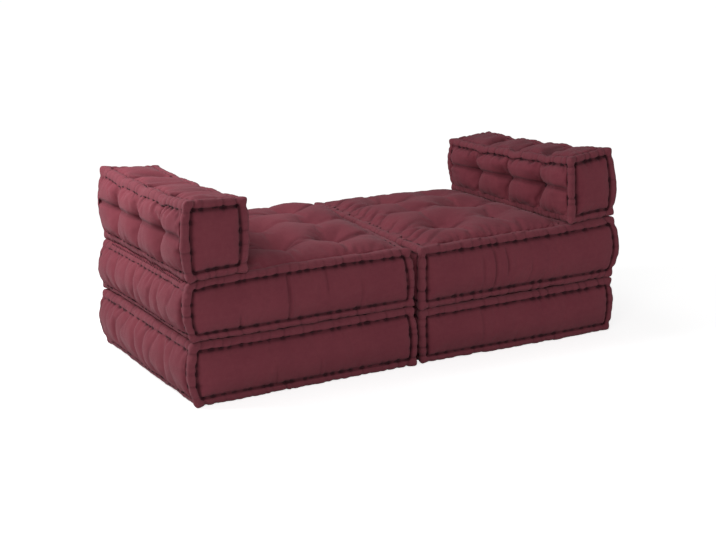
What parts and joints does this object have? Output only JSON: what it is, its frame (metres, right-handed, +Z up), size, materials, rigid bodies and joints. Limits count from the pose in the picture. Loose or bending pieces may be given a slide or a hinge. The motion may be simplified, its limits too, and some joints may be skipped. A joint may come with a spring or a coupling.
{
  "type": "modular sofa",
  "caption": "Low daybed of facing floor-mattress modules: stacked base and seat cushions with rolled edges and a tufted back cushion at each outer end.",
  "frame": {"origin": "centre of the footprint, on the floor midway between the two modules", "axes": "+X along the sofa from the left module to the right one, +Y from the front to the rear, +Z up"},
  "size_m": [1.5036, 0.7234, 0.5895],
  "materials": {
    "cover_cotton": "matt woven cotton, burgundy",
    "hinge_cotton": "matt woven cotton strip, burgundy",
    "filling": "layered cotton batting, off-white",
    "twine": "waxed cotton twine, dark red"
  },
  "bodies": {
    "left_base": {"left_base_cover": "cover_cotton", "left_base_filling": "filling", "left_base_ties": "twine"},
    "left_seat": {"left_seat_cover": "cover_cotton", "left_seat_filling": "filling", "left_seat_ties": "twine", "left_hinge_lower": "hinge_cotton"},
    "left_back": {"left_back_cover": "cover_cotton", "left_back_filling": "filling", "left_back_ties": "twine", "left_hinge_upper": "hinge_cotton"},
    "right_base": {"right_base_cover": "cover_cotton", "right_base_filling": "filling", "right_base_ties": "twine"},
    "right_seat": {"right_seat_cover": "cover_cotton", "right_seat_filling": "filling", "right_seat_ties": "twine", "right_hinge_lower": "hinge_cotton"},
    "right_back": {"right_back_cover": "cover_cotton", "right_back_filling": "filling", "right_back_ties": "twine", "right_hinge_upper": "hinge_cotton"}
  },
  "joints": [
    {"name": "modules_apart", "type": "slide", "parent": "left_base", "child": "right_base", "axis": [1, 0, 0], "range_m": [0, 1]},
    {"name": "left_seat_lift", "type": "slide", "parent": "left_base", "child": "left_seat", "axis": [0, 0, 1], "range_m": [0, 0.25]},
    {"name": "right_seat_lift", "type": "slide", "parent": "right_base", "child": "right_seat", "axis": [0, 0, 1], "range_m": [0, 0.25]},
    {"name": "left_back_fold", "type": "hinge", "parent": "left_seat", "child": "left_back", "pos_m": [-0.75, 0, 0.37045], "axis": [0, -1, 0], "range_deg": [0, 180]},
    {"name": "right_back_fold", "type": "hinge", "parent": "right_seat", "child": "right_back", "pos_m": [0.75, 0, 0.37045], "axis": [0, 1, 0], "range_deg": [0, 180]}
  ]
}
